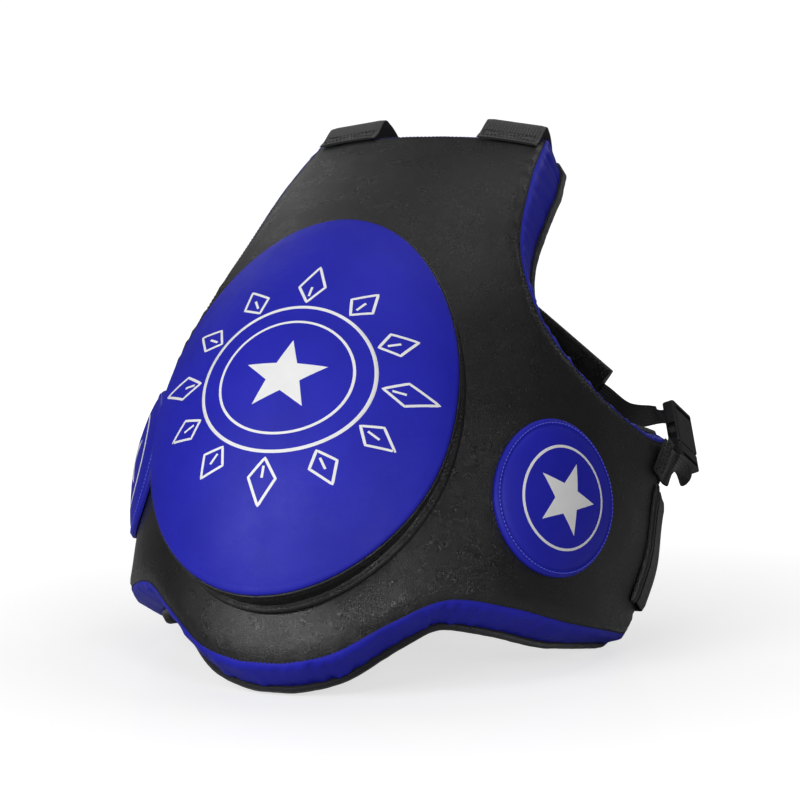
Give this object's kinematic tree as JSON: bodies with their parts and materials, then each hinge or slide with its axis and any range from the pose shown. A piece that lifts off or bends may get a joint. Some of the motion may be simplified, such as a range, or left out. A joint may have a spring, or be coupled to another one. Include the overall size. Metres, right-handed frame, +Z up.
{
  "type": "trainer belly pad",
  "caption": "Padded trainer's vest with a crowned belly pad and round side patches, crossed shoulder straps on side-release buckles, and a hook-and-loop waist belt.",
  "frame": {"origin": "centre of the bounding box, on the floor that the vest stands on", "axes": "+Z up, the front faces -Y, and the wearer's left is +X"},
  "size_m": [0.477, 0.4556, 0.4436],
  "materials": {
    "black_leather": "fine-grained satin leather",
    "blue_leather": "smooth satin leather",
    "black_lining": "matt woven lining",
    "black_binding": "matt woven tape",
    "black_webbing": "ribbed webbing",
    "black_elastic": "ribbed elastic",
    "black_plastic": "moulded, slightly glossy",
    "grey_foam": "closed-cell foam, inside the covers",
    "hook_tape": "hook-and-loop tape"
  },
  "bodies": {
    "vest": {"front_panel": "black_leather", "foam_outer_layer": "grey_foam", "foam_inner_layer": "grey_foam", "back_panel": "black_lining", "edge_binding": "black_binding", "gusset_neck": "blue_leather", "gusset_armhole_left": "blue_leather", "gusset_armhole_right": "blue_leather", "gusset_hem_left": "blue_leather", "gusset_hem_right": "blue_leather", "gusset_rear_left": "black_leather", "gusset_rear_right": "black_leather", "belt_cover_left": "black_leather", "belt_cover_right": "black_leather", "belly_pad_flange": "black_leather", "belly_pad_wall": "black_leather", "belly_pad_face": "blue_leather", "belly_pad_foam": "grey_foam", "side_patch_left": "blue_leather", "side_patch_right": "blue_leather", "side_patch_foam_left": "grey_foam", "side_patch_foam_right": "grey_foam", "shoulder_strap_left": "black_webbing", "shoulder_strap_right": "black_webbing", "strap_pad_left": "black_leather", "strap_pad_right": "black_leather", "back_web_left": "black_webbing", "back_web_right": "black_webbing", "cross_patch": "black_leather", "buckle_male_left": "black_plastic", "buckle_male_right": "black_plastic", "buckle_guide_left": "black_plastic", "buckle_guide_right": "black_plastic", "anchor_web_left": "black_webbing", "anchor_web_right": "black_webbing", "anchor_tab_left": "black_leather", "anchor_tab_right": "black_leather", "waist_belt_left": "black_elastic", "waist_belt_right": "black_elastic", "loop_patch": "hook_tape"},
    "buckle_female_left": {"buckle_female_left": "black_plastic"},
    "buckle_female_right": {"buckle_female_right": "black_plastic"},
    "prong_front_left": {"prong_front_left": "black_plastic"},
    "prong_rear_left": {"prong_rear_left": "black_plastic"},
    "prong_front_right": {"prong_front_right": "black_plastic"},
    "prong_rear_right": {"prong_rear_right": "black_plastic"},
    "belt_end": {"waist_belt_end": "black_elastic", "hook_patch": "hook_tape"}
  },
  "joints": [
    {"name": "buckle_release_left", "type": "slide", "parent": "vest", "child": "buckle_female_left", "axis": [-0.3003, 0.4904, 0.8181], "range_m": [0, 0.03], "deforming": ["back_web_left"]},
    {"name": "prong_front_squeeze_left", "type": "hinge", "parent": "vest", "child": "prong_front_left", "pos_m": [0.22361, 0.16172, 0.16376], "axis": [-0.9417, -0.0162, -0.3359], "range_deg": [0, 7], "stiffness_Nm_per_rad": 0.5},
    {"name": "prong_rear_squeeze_left", "type": "hinge", "parent": "vest", "child": "prong_rear_left", "pos_m": [0.22826, 0.18847, 0.14943], "axis": [-0.9417, -0.0162, -0.3359], "range_deg": [-7, 0], "stiffness_Nm_per_rad": 0.5},
    {"name": "buckle_release_right", "type": "slide", "parent": "vest", "child": "buckle_female_right", "axis": [0.3003, 0.4904, 0.8181], "range_m": [0, 0.03], "deforming": ["back_web_right"]},
    {"name": "prong_front_squeeze_right", "type": "hinge", "parent": "vest", "child": "prong_front_right", "pos_m": [-0.22361, 0.16172, 0.16376], "axis": [-0.9417, 0.0162, 0.3359], "range_deg": [0, 7], "stiffness_Nm_per_rad": 0.5},
    {"name": "prong_rear_squeeze_right", "type": "hinge", "parent": "vest", "child": "prong_rear_right", "pos_m": [-0.22826, 0.18847, 0.14943], "axis": [-0.9417, 0.0162, 0.3359], "range_deg": [-7, 0], "stiffness_Nm_per_rad": 0.5},
    {"name": "waist_belt_closure", "type": "slide", "parent": "vest", "child": "belt_end", "axis": [1, 0, 0], "range_m": [-0.01, 0.03], "deforming": ["waist_belt_right"]}
  ],
  "couplings": [
    {"joint": "prong_rear_squeeze_left", "follows": "prong_front_squeeze_left", "ratio": -1},
    {"joint": "prong_rear_squeeze_right", "follows": "prong_front_squeeze_right", "ratio": -1}
  ]
}
